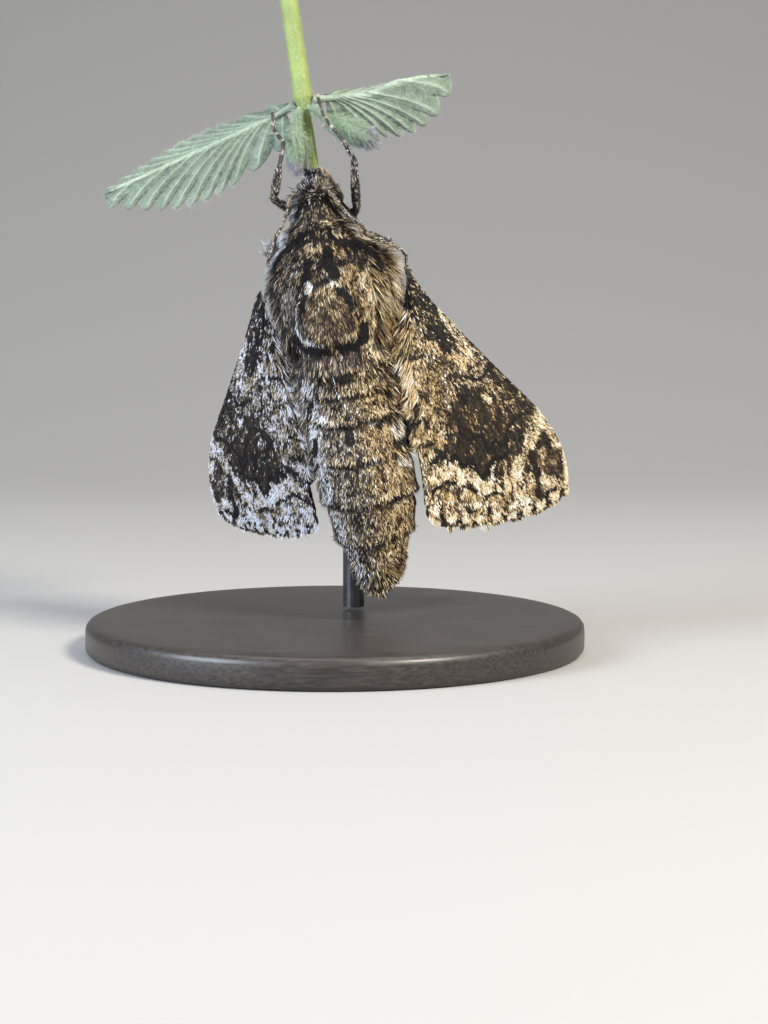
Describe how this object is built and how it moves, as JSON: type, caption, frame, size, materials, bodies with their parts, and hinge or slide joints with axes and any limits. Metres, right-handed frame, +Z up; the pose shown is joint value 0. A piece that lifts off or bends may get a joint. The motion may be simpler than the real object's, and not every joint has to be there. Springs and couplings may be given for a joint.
{
  "type": "pawpaw sphinx moth on a mint sprig and display stand",
  "caption": "Still, life-size sphinx moth with folded roof-like wings, clinging head up to a cut sprig of mint that a slim rod holds over a round display base.",
  "frame": {"origin": "middle of the display base's underside", "axes": "+Z up; -Y towards the viewer of the moth's back; +X to the moth's right side"},
  "size_m": [0.046, 0.046, 0.0606],
  "materials": {
    "moth_scales": "hair scales of brown, black, gold and cream",
    "wing_scales": "overlapping flat scales in black, brown, cream and white bands",
    "hindwing_scales": "overlapping flat scales, dull brown",
    "leg_scales": "dark brown with pale scale tips",
    "feeler": "dull cream above, brown below",
    "eye_lens": "dark and glossy",
    "stem_green": "waxy yellow green with short hairs",
    "leaf_green": "downy grey green with pale veins",
    "bud_down": "downy grey green with lilac hairs",
    "stand_black": "satin black lacquer"
  },
  "bodies": {
    "root": {"head": "moth_scales", "thorax": "moth_scales", "abdomen": "moth_scales", "eye_left": "eye_lens", "eye_right": "eye_lens", "antenna_left": "feeler", "antenna_right": "feeler", "proboscis": "leg_scales", "forewing_left": "wing_scales", "forewing_right": "wing_scales", "hindwing_left": "hindwing_scales", "hindwing_right": "hindwing_scales", "leg_fore_left": "leg_scales", "leg_fore_right": "leg_scales", "leg_mid_left": "leg_scales", "leg_mid_right": "leg_scales", "leg_hind_left": "leg_scales", "leg_hind_right": "leg_scales", "perch_stem": "stem_green", "perch_leaf_left": "leaf_green", "perch_leaf_right": "leaf_green", "perch_bud_left": "bud_down", "perch_bud_right": "bud_down", "stand_base": "stand_black", "stand_rod": "stand_black"}
  },
  "joints": []
}
